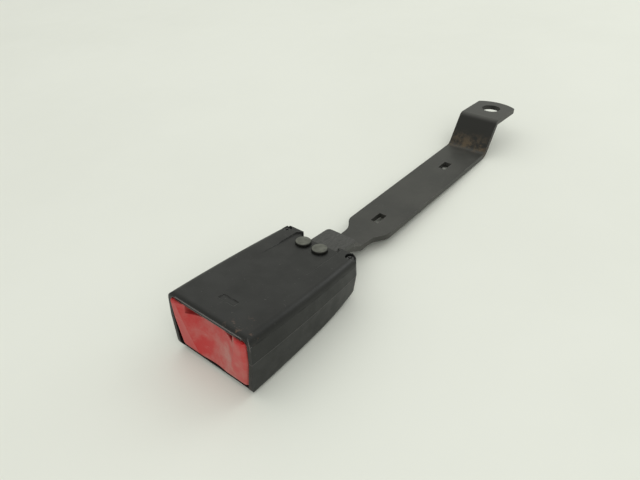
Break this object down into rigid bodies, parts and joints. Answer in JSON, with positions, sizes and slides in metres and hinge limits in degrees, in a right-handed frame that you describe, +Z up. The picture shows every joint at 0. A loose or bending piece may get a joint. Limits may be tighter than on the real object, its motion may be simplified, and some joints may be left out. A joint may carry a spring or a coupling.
{
  "type": "seat belt buckle",
  "caption": "Seat belt buckle with red push button, riveted to a long cranked steel stalk with an anchor bolt hole; button, ejector and latch move.",
  "frame": {"origin": "under the middle of the whole buckle, on the surface that it rests on", "axes": "+Y from the button to the anchor tab, +Z up as it rests, X across"},
  "size_m": [0.0506, 0.2712, 0.032],
  "materials": {
    "black_plastic": "satin",
    "red_plastic": "satin",
    "natural_plastic": "satin",
    "black_steel": "satin",
    "zinc_steel": "satin",
    "bright_steel": "polished",
    "spring_steel": "satin",
    "zinc_rivet": "satin",
    "black_screw": "satin"
  },
  "bodies": {
    "buckle": {"upper_cover": "black_plastic", "lower_cover": "black_plastic", "buckle_frame": "black_steel", "stalk_strap": "black_steel", "frame_rivet_left": "zinc_rivet", "frame_rivet_right": "zinc_rivet", "cover_screw_left": "black_screw", "cover_screw_right": "black_screw", "latch_pivot_pin": "bright_steel", "pivot_clip_left": "spring_steel", "pivot_clip_right": "spring_steel", "tongue_guide": "natural_plastic", "latch_spring": "spring_steel", "button_spring_left": "spring_steel", "button_spring_right": "spring_steel", "ejector_spring": "spring_steel"},
    "button": {"release_button": "red_plastic", "lock_pin": "bright_steel", "lock_pin_clip_left": "spring_steel", "lock_pin_clip_right": "spring_steel"},
    "ejector_slider": {"ejector": "natural_plastic"},
    "latch_lever": {"latch": "zinc_steel"}
  },
  "joints": [
    {"name": "button_press", "type": "slide", "parent": "buckle", "child": "button", "axis": [0, 0.9936, -0.1132], "range_m": [0, 0.006], "stiffness_N_per_m": 600, "springref_m": -0.004, "deforming": ["button_spring_left", "button_spring_right"]},
    {"name": "ejector_slide", "type": "slide", "parent": "buckle", "child": "ejector_slider", "axis": [0, 0.9936, -0.1132], "range_m": [0, 0.011], "stiffness_N_per_m": 400, "springref_m": -0.003, "deforming": ["ejector_spring"]},
    {"name": "latch_swing", "type": "hinge", "parent": "buckle", "child": "latch_lever", "pos_m": [0, -0.09072, 0.01449], "axis": [-1, 0, 0], "range_deg": [0, 7], "deforming": ["latch_spring"]}
  ],
  "couplings": [
    {"joint": "latch_swing", "follows": "ejector_slide", "rad_per_m": 11.106}
  ]
}
